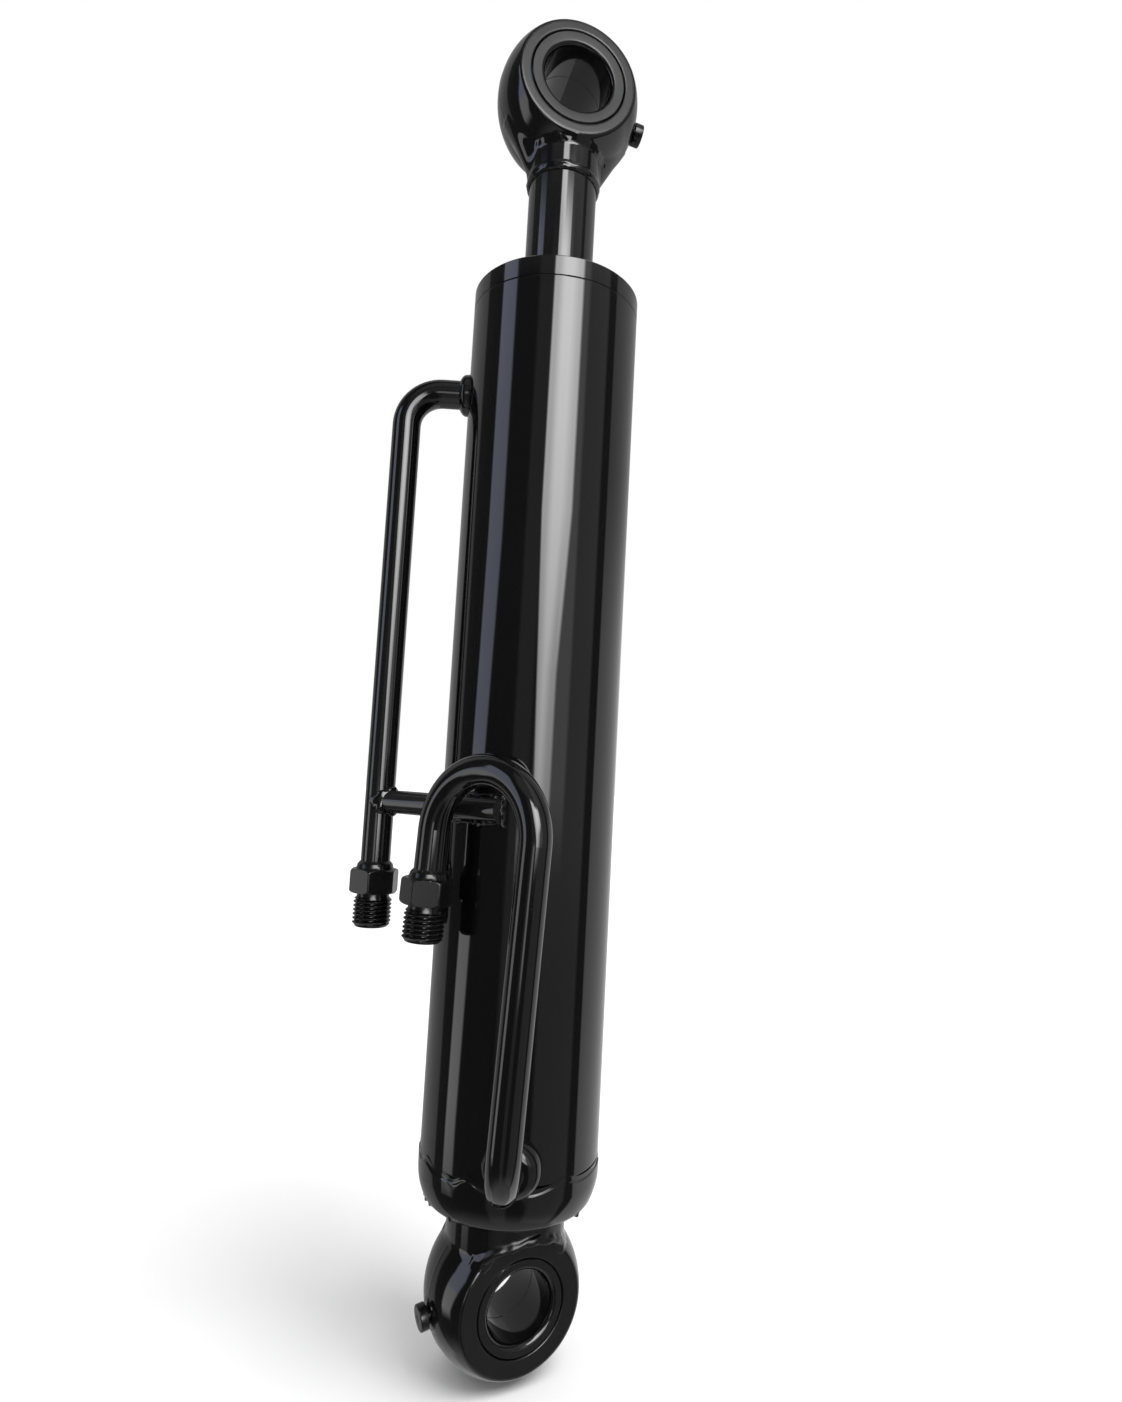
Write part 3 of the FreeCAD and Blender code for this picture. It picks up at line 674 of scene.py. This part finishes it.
def base_eye_shape(p):
    """Faced ball with a neck up to the cap, weld beads, the plug's pad and the bush's hole."""
    ball = forged_ball(p, BASE_EYE_R)
    depth = np.abs(p[:, 1])
    eye = common(ball, depth - BASE_EYE_HALF, FACE_EDGE)
    column = about_z(p) - BASE_NECK_R
    neck = np.maximum(column, np.maximum(-p[:, 2], p[:, 2] - CAP_LOW - 1))
    # Facing the ball also cut the neck back round each face.
    face_r = math.sqrt(BASE_EYE_R ** 2 - BASE_EYE_HALF ** 2)
    cleared = np.maximum(about_y(p) - face_r - 1.4, BASE_EYE_HALF - 0.2 - depth)
    shape = joined(eye, common(neck, -cleared, 1.6), 1.2)
    # The bead between ball and neck is thin at the sides and heavier towards the faces.
    heavier = 1.3 * np.clip((depth - 14) / 8, 0, 1)
    seam = np.maximum(bead(ball, column, 0.45, p, 9.0, 31, 0.35) - heavier, -cleared - 0.8)
    shape = np.where(p[:, 2] > 12, joined(shape, seam, 0.7), shape)
    # A heavier bead runs over the top of each face, and another round the neck at the cap.
    rim = bead(about_y(p) - face_r - 2.4, column + 0.4, 2.2, p, 13.0, 34, 0.25)
    shape = joined(shape, np.maximum(rim, np.maximum(19 - depth, 16 - p[:, 2])), 1.1)
    cap_weld = bead(column, p[:, 2] - CAP_LOW, 2.1, p, 13.0, 32, 0.32)
    shape = joined(shape, np.maximum(cap_weld, -cleared), 1.5)
    plug = along_plug(-1, BASE_PLUG_LIFT_DEG)
    shape = joined(shape, plug_boss(p, plug, 6.8, BASE_EYE_R - 0.6, 0.25, 33), 2.0)
    return common(shape, BASE_BUSH_R + BUSH_GAP - about_y(p), 1.0)


def rod_eye_shape(p):
    """Faced ball that tapers to a round neck, weld beads, the plug's pad and the bush's hole."""
    ball = forged_ball(p, ROD_EYE_R)
    depth = np.abs(p[:, 1])
    # The forging's flanks run from the neck to the ball as tangents.
    tangent = (math.atan2(ROD_NECK_TOP, ROD_NECK_R)
               + math.acos(ROD_EYE_R / math.hypot(ROD_NECK_R, ROD_NECK_TOP)))
    out, up = math.cos(tangent), math.sin(tangent)
    flattened = np.hypot(p[:, 0], 2.1 * p[:, 1])
    taper = (flattened - ROD_NECK_R) * out + (p[:, 2] - ROD_NECK_TOP) * up
    taper = np.maximum(taper, np.maximum(p[:, 2] - ROD_EYE_R * up, ROD_NECK_TOP - p[:, 2]))
    eye = common(joined(ball, taper, 2.2), depth - ROD_EYE_HALF, FACE_EDGE)
    column = about_z(p) - ROD_NECK_R
    neck = np.maximum(column, np.maximum(ROD_NECK_LOW - p[:, 2], p[:, 2] + ROD_NECK_R))
    shape = joined(eye, common(neck, ROD_NECK_LOW - p[:, 2], 0.8), 2.5)
    seam = bead(ball, column, 1.0, p, 12.0, 41, 0.6)
    seam = np.maximum(seam, np.maximum(depth - ROD_EYE_HALF, p[:, 2] + 10))
    shape = joined(shape, seam, 1.6)
    # The weld to the rod: a wavy ripple round the neck and a fine toe on the rod.
    level = ROD_NECK_LOW + 2.4 + 0.4 * wobble(p * (1, 1, 0.2), 15.0, 42)
    ripple = bead(column + 0.35, p[:, 2] - level, 0.65, p, 9.0, 43, 0.3)
    shape = joined(shape, ripple, 0.9)
    toe = bead(about_z(p) - ROD_R - 0.3, p[:, 2] - ROD_NECK_LOW + 0.1, 0.35, p, 12.0, 44, 0.15)
    shape = joined(shape, toe, 0.6)
    plug = along_plug(1, ROD_PLUG_LIFT_DEG)
    shape = joined(shape, plug_boss(p, plug, 6.6, ROD_EYE_R - 1.2, 0.2, 45), 2.0)
    return common(shape, ROD_BUSH_R + BUSH_GAP - about_y(p), 1.0)


def eased_corner(inner, face, ease, sharpness):
    """Bore end as a rounded-off corner: a superellipse from the bore wall out to the face."""
    side = math.copysign(1.0, face)
    power = 2 / sharpness
    steps = 14
    points = []
    for step in range(steps + 1):
        angle = step / steps * math.pi / 2
        points.append((inner + ease - ease * math.cos(angle) ** power,
                       face - side * (ease - ease * math.sin(angle) ** power)))
    return points


def eye_bush(outer, inner, half, near_end, far_end):
    """Bush with a shallow grease groove; each bore end is eased as (ease, sharpness)."""
    groove = 0.15
    outline = eased_corner(inner, -half, *near_end)
    outline += [(outer - 0.5, -half), (outer, -half + 0.5), (outer, half - 0.5), (outer - 0.5, half)]
    outline += reversed(eased_corner(inner, half, *far_end))
    outline += [(inner, 0.45), (inner + groove, 0.3), (inner + groove, -0.3), (inner, -0.45)]
    points, faces = lathe(outline, 200)
    return placed(points, along((0, 1, 0))), faces


def grease_plug(surface_r, head_length):
    """Plug with a seat ring, a grooved stem and a round eased head, drawn up the Z axis."""
    end = 4.0 + head_length
    seat = [(0.01, -1.5), (5.5, -1.5), (5.5, 1.3, 0.4)]
    stem = [(4.0, 2.0, 0.3), (4.0, 2.5, 0.15), (4.5, 2.75, 0.15), (4.0, 3.0, 0.15), (4.0, 3.4, 0.2)]
    head = [(6.3, 3.5, 0.25), (6.3, end - 0.4, 0.2), (5.9, end, 0.25)]
    dimple = [(1.8, end, 0.1), (1.5, end - 0.2, 0.1), (0.01, end - 0.2)]
    points, faces = lathe(rounded(seat + stem + head + dimple, 0.2, 3), 96)
    return points + np.array([0, 0, surface_r]), faces


def base_eye():
    """Lower eye's forging, bush and grease plug."""
    reach = BASE_EYE_R + 2
    side = BASE_NECK_R + 3
    points, faces = surface(base_eye_shape, (-reach, -side, -reach), (reach, side, CAP_LOW + 2.4), 0.62)
    make_object("base_eye_forging", points, faces, BASE_EYE_PAINT, "barrel",
                ["base_eye", "base_eye_weld"], 50)
    points, faces = eye_bush(BASE_BUSH_R, BASE_PIN_R, BASE_EYE_HALF, (3.0, 1.9), (5.1, 1.3))
    make_object("base_eye_bush_detail", points, faces, BASE_BUSH_LOOK, "barrel",
                ["base_eye_bush"])
    points, faces = grease_plug(BASE_EYE_R - 2.2, 3.6)
    points = placed(points, along(along_plug(-1, BASE_PLUG_LIFT_DEG)))
    make_object("base_grease_plug_detail", points, faces, FITTING_SATIN, "barrel",
                ["base_grease_plug"])


def rod_eye():
    """Upper eye's forging, bush and grease plug, turned as the rod pin is."""
    twist = turned_z(ROD_EYE_TURN)
    centre = (0, 0, ROD_EYE_Z)
    reach = ROD_EYE_R + 2
    side = 0.62 * reach
    points, faces = surface(rod_eye_shape, (-reach, -side, ROD_NECK_LOW - 3.4), (reach, side, reach), 0.6)
    make_object("rod_eye_forging", placed(points, twist, centre), faces, ROD_EYE_PAINT, "rod",
                ["rod_eye", "rod_eye_weld"], 50)
    points, faces = eye_bush(ROD_BUSH_R, ROD_PIN_R, ROD_EYE_HALF, (2.4, 1.9), (2.4, 1.9))
    make_object("rod_eye_bush_detail", placed(points, twist, centre), faces, ROD_BUSH_LOOK, "rod",
                ["rod_eye_bush"])
    points, faces = grease_plug(ROD_EYE_R - 3.0, 4.6)
    points = placed(points, along(along_plug(1, ROD_PLUG_LIFT_DEG)))
    make_object("rod_grease_plug_detail", placed(points, twist, centre), faces, FITTING_SATIN, "rod",
                ["rod_grease_plug"])


# =====================================================================================
# Ports, stay and fittings
# =====================================================================================
def port_weld(name, node, port_z, port_deg, core, rounding, height, aside, seed):
    """Rounded weld boss that follows the barrel's curve, with a lumpy toe and a bead at the pipe."""
    direction = polar(1, port_deg)
    across = polar(1, port_deg + 90)
    origin = np.array([0, 0, port_z])

    def shape(p):
        beside, out = line_distance(p, origin, direction)
        wide, _ = line_distance(p, origin + aside * across, direction)
        top = BARREL_R + height - rounding
        body = np.hypot(np.maximum(wide - core, 0), np.maximum(out - top, 0)) - rounding
        body = body + 0.14 * wobble(p, 16.0, seed, 2)
        barrel = about_z(p) - BARREL_R
        toe = bead(body, barrel, 0.15, p, 14.0, seed + 1, 0.2)
        collar = bead(beside - PIPE_R, out - BARREL_R - height + 0.5, 0.9, p, 8.0, seed + 2, 0.25)
        body = joined(joined(body, toe, 0.5), collar, 1.0)
        return np.maximum(np.maximum(body, -0.5 - barrel), PIPE_R - 0.6 - beside)

    size = core + rounding + aside + 3.0
    reach = (size + 4, size + 4, size)
    centre = polar(BARREL_R, port_deg, port_z)
    points, faces = surface(shape, centre - reach, centre + reach, 0.5)
    make_object(name, points, faces, WELD_PAINT, "barrel", [node], 60)


def stay_welds():
    """Weld beads round both ends of the stay, which meets the barrel's side almost as a tangent."""
    leg = np.array([HEAD_LEG[0], HEAD_LEG[1], STAY_Z])
    axis_distance = BARREL_R - 1.0
    apart_deg = math.degrees(math.acos(axis_distance / np.linalg.norm(HEAD_LEG)))
    touch = polar(axis_distance, HEAD_PORT_DEG + apart_deg, STAY_Z)
    length = np.linalg.norm(touch - leg) + 15
    direction = (touch - leg) / np.linalg.norm(touch - leg)

    def at_pipe(p):
        bar, out = line_distance(p, leg, direction)
        pipe, _ = line_distance(p, leg, np.array([0.0, 0.0, 1.0]))
        ring = bead(pipe - PIPE_R, bar - STAY_R, 2.2, p, 9.0, 61, 0.22)
        return np.maximum(np.maximum(ring, -out), PIPE_R - 0.5 - pipe)

    def at_barrel(p):
        bar, out = line_distance(p, leg, direction)
        barrel = about_z(p) - BARREL_R
        ring = bead(barrel, np.maximum(bar - STAY_R, out - length), 2.0, p, 9.0, 62, 0.3)
        return np.maximum(ring, -0.5 - barrel)

    centre = leg + direction * PIPE_R
    points, faces = surface(at_pipe, centre - 13, centre + 13, 0.4)
    make_object("stay_pipe_bead", points, faces, WELD_PAINT, "barrel", ["stay_pipe_weld"],
                60)
    reach = (26, 26, 14)
    points, faces = surface(at_barrel, touch - reach, touch + reach, 0.5)
    make_object("stay_barrel_bead", points, faces, WELD_PAINT, "barrel", ["stay_barrel_weld"],
                60)


def fitting_mesh(turn_deg):
    """Weld cone, chamfered hexagon, undercut, cut thread and eased bore, up the Z axis."""
    hex_top = FITTING_TOP - CONE_HEIGHT
    hex_low = hex_top - HEX_HEIGHT
    thread_top = hex_low - UNDERCUT
    root_r = THREAD_R - 1.6
    flat_r = HEX_FLATS / 2
    end = FITTING_END
    # The last corner only steers the one before it, so its own points are dropped.
    below = rounded([(PIPE_BORE_R, FITTING_TOP + 0.3), (PIPE_BORE_R, end + 0.8), (PIPE_BORE_R + 0.8, end),
                     (THREAD_R - 1.7, end), (THREAD_R - 0.3, end + 1.4)], 0.2, 3)[:-4]
    below += [(THREAD_R, z) for z in np.arange(end + 1.4, thread_top, THREAD_PITCH / 10)]
    below += [(root_r, thread_top + 1.093), (root_r, hex_low - 0.05), (flat_r - 1.2, hex_low)]
    chamfer = []
    for angle in np.linspace(0, math.pi / 2, 9):
        chamfer.append((HEX_TURNED_R - 1.4 * HEX_CHAMFER * (1 - math.sin(angle)),
                        hex_low + HEX_CHAMFER * (1 - math.cos(angle))))
    hexagon = chamfer + [(r, hex_low + hex_top - z) for r, z in reversed(chamfer)]
    above = [(flat_r - 1.2, hex_top), (PIPE_R + 2.4, hex_top + 0.05), (PIPE_R + 2.2, hex_top + 0.3),
             (PIPE_R + 2.3, hex_top + 1.4), (PIPE_R + 1.5, hex_top + 2.6),
             (PIPE_R + 0.5, FITTING_TOP - 0.3), (PIPE_R - 0.1, FITTING_TOP + 0.3)]
    outline = below + hexagon + above
    row = np.arange(len(outline))[:, None]
    on_hexagon = (row >= len(below)) & (row < len(below) + len(hexagon))

    def bend(turn, radius, height):
        sector = np.mod(turn - math.radians(turn_deg), math.pi / 3) - math.pi / 6
        radius = np.where(on_hexagon, np.minimum(flat_r / np.cos(sector), radius), radius)
        threaded = np.isclose(radius, THREAD_R)
        phase = np.mod((height - end) / THREAD_PITCH - turn / (2 * math.pi), 1.0)
        depth = THREAD_DEPTH * np.clip(1.3 * np.abs(2 * phase - 1) - 0.2, 0, 1)
        fade = (np.clip((height - end - 0.6) / 0.9, 0, 1)
                * np.clip((thread_top + 0.4 - height) / 0.9, 0, 1))
        radius = radius - np.where(threaded, depth * fade + 0.5 * (1 - fade), 0)
        weld = (height > hex_top + 0.2) & (radius > PIPE_R + 0.2)
        lumps = wobble(around(turn, radius, height), 9.0, 71, 2).reshape(turn.shape)
        return radius + np.where(weld, 0.08 * lumps, 0), height

    return lathe(outline, 288, bend)


def fittings():
    """The two threaded fittings, each at its own turn; the lower port's one leans with its pipe."""
    points, faces = fitting_mesh(HEAD_PORT_DEG - 33)
    make_object("head_fitting_detail", points + np.array([*HEAD_LEG, 0]), faces, FITTING_SATIN, "barrel",
                ["head_pipe_fitting"], 28)
    points, faces = fitting_mesh(HEAD_PORT_DEG + 3)
    middle = np.array([0, 0, mount_mm("head_port")[2]])
    lean = along(-np.array(MOUNTS["base_port"]["axis"]))
    make_object("base_fitting_detail", placed(points - middle, lean, mount_mm("base_port")), faces,
                FITTING_SATIN, "barrel", ["base_pipe_fitting"], 28)


barrel_tube()
base_dome()
base_eye()
rod_eye()
port_weld("head_port_weld", "head_port_boss", HEAD_PORT_Z, HEAD_PORT_DEG,
          core=8.4, rounding=3.2, height=4.6, aside=0.0, seed=51)
port_weld("base_port_weld", "base_port_boss", BASE_PORT_Z, BASE_PORT_DEG,
          core=7.0, rounding=7.8, height=6.8, aside=3.2, seed=55)
stay_welds()
fittings()


# =====================================================================================
# Studio
# =====================================================================================
# The camera stands on the -Y side, a little towards -X, and looks at the cylinder's axis.
CAMERA_AZIMUTH = math.radians(-25.89)
CAMERA_DISTANCE = 467.45 * MM
CAMERA_HEIGHT = 269.2 * MM
CAMERA_TILT = Euler([math.radians(angle) for angle in (4.994, -2.108, 3.025)])
CAMERA_LENS = 21.36
TO_RIGHT = Vector((math.cos(CAMERA_AZIMUTH), math.sin(CAMERA_AZIMUTH), 0))
TO_FRONT = Vector((math.sin(CAMERA_AZIMUTH), -math.cos(CAMERA_AZIMUTH), 0))


def camera():
    """The wide-angle camera, level towards the cylinder's axis and then tilted a little."""
    data = bpy.data.cameras.new("camera")
    data.lens = CAMERA_LENS
    data.sensor_width = 36.0
    data.clip_start = 0.01
    view = bpy.data.objects.new("camera", data)
    level = Matrix((TO_RIGHT, Vector((0, 0, 1)), TO_FRONT)).transposed()
    turned = level @ CAMERA_TILT.to_matrix()
    place = TO_FRONT * CAMERA_DISTANCE + Vector((0, 0, CAMERA_HEIGHT))
    view.matrix_world = Matrix.Translation(place) @ turned.to_4x4()
    bpy.context.scene.collection.objects.link(view)
    bpy.context.scene.camera = view


def floor():
    """Pale floor under the base eye."""
    size = 12.0
    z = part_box("base_eye")[0].z
    corners = [(-size, -size, z), (size, -size, z), (size, size, z), (-size, size, z)]
    mesh = bpy.data.meshes.new("floor")
    mesh.from_pydata(corners, [], [(0, 1, 2, 3)])
    look = Look("floor_white")
    tone = look.ramp(look.noise(6.0, 3.0), (0.3, (0.895, 0.895, 0.895)), (0.7, (0.905, 0.905, 0.905)))
    look.set("Base Color", tone)
    look.set("Roughness", 1.0)
    look.set("Specular IOR Level", 0.0)
    mesh.materials.append(look.material)
    piece = bpy.data.objects.new("floor", mesh)
    bpy.context.scene.collection.objects.link(piece)
    piece.visible_glossy = False


def soft_sun(name, turn_deg, lift_deg, strength, spread_deg):
    """Large soft light for the floor's shadow; turn is from the camera's side to the right."""
    data = bpy.data.lights.new(name, "SUN")
    data.energy = strength
    data.angle = math.radians(spread_deg)
    data.specular_factor = 0.0
    lamp = bpy.data.objects.new(name, data)
    turn, lift = math.radians(turn_deg), math.radians(lift_deg)
    level = TO_FRONT * math.cos(turn) + TO_RIGHT * math.sin(turn)
    source = level * math.cos(lift) + Vector((0, 0, math.sin(lift)))
    lamp.rotation_euler = source.to_track_quat("Z", "Y").to_euler()
    bpy.context.scene.collection.objects.link(lamp)
    lamp.visible_glossy = False


COOL_TINT = (0.86, 0.93, 1.2)


class Studio(Graph):
    """World whose reflections are soft boxes in a dark room, with a white backdrop behind.

    Turn is the direction about Z in degrees, 0 towards the camera's side and positive to its right.
    Lift is the height above the horizon in degrees. Radiances are relative to the backdrop's white.
    """

    def __init__(self, dark):
        world = bpy.data.worlds.new("studio")
        bpy.context.scene.world = world
        world.use_nodes = True
        super().__init__(world.node_tree)
        where = self.nodes.new("ShaderNodeTexCoord").outputs["Generated"]
        front = self.dot(where, TO_FRONT)
        right = self.dot(where, TO_RIGHT)
        up = self.dot(where, Vector((0, 0, 1)))
        self.turn = self.math("MULTIPLY", self.math("ARCTAN2", right, front), math.degrees(1))
        self.lift = self.math("MULTIPLY", self.math("ARCSINE", up), math.degrees(1))
        self.level = dark
        self.blue = 0.0

    def dot(self, vector, direction):
        """How far a vector reaches along a direction."""
        node = self.nodes.new("ShaderNodeVectorMath")
        node.operation = "DOT_PRODUCT"
        self.links.new(vector, node.inputs[0])
        node.inputs[1].default_value = direction
        return node.outputs["Value"]

    def rise(self, value, start, end):
        """0 below start, 1 above end, smooth between."""
        node = self.nodes.new("ShaderNodeMapRange")
        node.interpolation_type = "SMOOTHSTEP"
        self.links.new(value, node.inputs["Value"])
        self.feed(node.inputs["From Min"], start)
        self.feed(node.inputs["From Max"], end)
        return node.outputs["Result"]

    def between(self, value, low, high, soft_low, soft_high):
        """1 between low and high, with soft edges."""
        up = self.rise(value, self.math("SUBTRACT", low, soft_low), self.math("ADD", low, soft_low))
        down = self.rise(value, self.math("SUBTRACT", high, soft_high), self.math("ADD", high, soft_high))
        return self.math("MULTIPLY", up, self.math("SUBTRACT", 1.0, down))

    def panel(self, radiance, left, right, low, high, soft, soft_lift=(3.0, 3.0), blue=False):
        """Add a soft box between two turns and two lifts; soft is each edge's half width."""
        sides = self.between(self.turn, left, right, *soft)
        ends = self.between(self.lift, low, high, *soft_lift)
        light = self.math("MULTIPLY", self.math("MULTIPLY", sides, ends), radiance)
        if blue:
            self.blue = self.math("ADD", self.blue, light)
        else:
            self.level = self.math("ADD", self.level, light)

    def slanted(self, at_top, slope, knee, span):
        """Edge that moves by slope degrees for each degree of lift below a knee, over a span."""
        below = self.math("MINIMUM", self.math("MAXIMUM", self.math("SUBTRACT", knee, self.lift), 0.0), span)
        return self.math("MULTIPLY_ADD", below, slope, at_top)

    def finish(self, ambient):
        """White to the camera, even light to matt surfaces, the soft boxes to glossy ones."""
        tint = self.nodes.new("ShaderNodeCombineColor")
        for socket, share in zip(tint.inputs, COOL_TINT):
            self.feed(socket, self.math("MULTIPLY_ADD", self.blue, share, self.level))
        path = self.nodes.new("ShaderNodeLightPath")
        seen = self.colour_mix(path.outputs["Is Glossy Ray"], (ambient,) * 3, tint.outputs[0])
        seen = self.colour_mix(path.outputs["Is Camera Ray"], seen, (1.0, 1.0, 1.0))
        background = self.nodes["Background"]
        self.links.new(seen, background.inputs["Color"])
        background.inputs["Strength"].default_value = 1.0


def studio():
    """Soft boxes as the gloss shows them: tall key in front, cool strip left, dim wall right."""
    room = Studio(0.07)
    low, high = -60, 90
    key_low, key_top = -6, 36
    wall = (26, 78)
    behind = (92, 200)
    # The key: brighter and wider upwards, with a core, a lit top edge and a low patch on its left.
    key = room.math("ADD", 0.52, room.math("MULTIPLY", room.rise(room.lift, -8.0, 30.0), 0.48))
    key_left = room.slanted(-4.0, 0.5, 18.0, 25.0)
    key_right = room.slanted(36.0, -0.9, 18.0, 11.0)
    core_right = room.math("SUBTRACT", key_right, 10.0)
    room.panel(room.math("MULTIPLY", key, 6.6), key_left, key_right, key_low, key_top, (1.5, 2.5), (2.0, 3.0))
    room.panel(room.math("MULTIPLY", key, 3.6), 6, core_right, key_low, key_top, (6.0, 6.0), (2.0, 3.0))
    room.panel(7.0, -3, 14, key_top, 40.5, (2.0, 3.0), (2.0, 1.5))
    room.panel(1.5, -13, -2, -14, -2, (2.0, 2.0), (2.0, 2.0))
    # The dim wall to the right of the key.
    room.panel(0.50, 26, 46, -4, 35, (3.0, 3.0), (4.0, 3.0))
    room.panel(0.20, *wall, low, high, (3.0, 3.0))
    room.panel(0.10, *wall, -8, high, (3.0, 3.0), (6.0, 3.0))
    # The cool strip to the left, neutral below the horizon, and the grey between it and the key.
    cool_left = room.slanted(-79.0, -0.30, 16.0, 38.0)
    cool_right = room.slanted(-57.0, -0.45, 16.0, 38.0)
    room.panel(1.25, cool_left, cool_right, 0, 36, (1.5, 2.0), (4.0, 3.0), blue=True)
    room.panel(1.45, cool_left, cool_right, -26, 0, (1.5, 2.0), (6.0, 4.0))
    room.panel(0.16, -24, -2, low, 34, (3.0, 4.0))
    # The backdrop behind the cylinder, on both sides.
    room.panel(0.32, *behind, low, high, (1.5, 4.0))
    room.panel(0.30, *behind, low, 14, (1.5, 4.0), (3.0, 8.0))
    room.panel(0.26, -200, -108, low, high, (4.0, 2.0))
    # Overhead glow, and the pale floor straight below.
    room.panel(0.25, -40, 62, 38, 75, (8.0, 8.0), (2.0, 6.0))
    room.panel(0.38, -200, 200, -100, -56, (1.0, 1.0), (1.0, 14.0))
    room.finish(0.66)


camera()
floor()
studio()
soft_sun("key_sun", 52, 58, 2.3, 40)
soft_sun("fill_sun", -70, 66, 0.30, 50)
bpy.context.scene.view_settings.view_transform = "Standard"
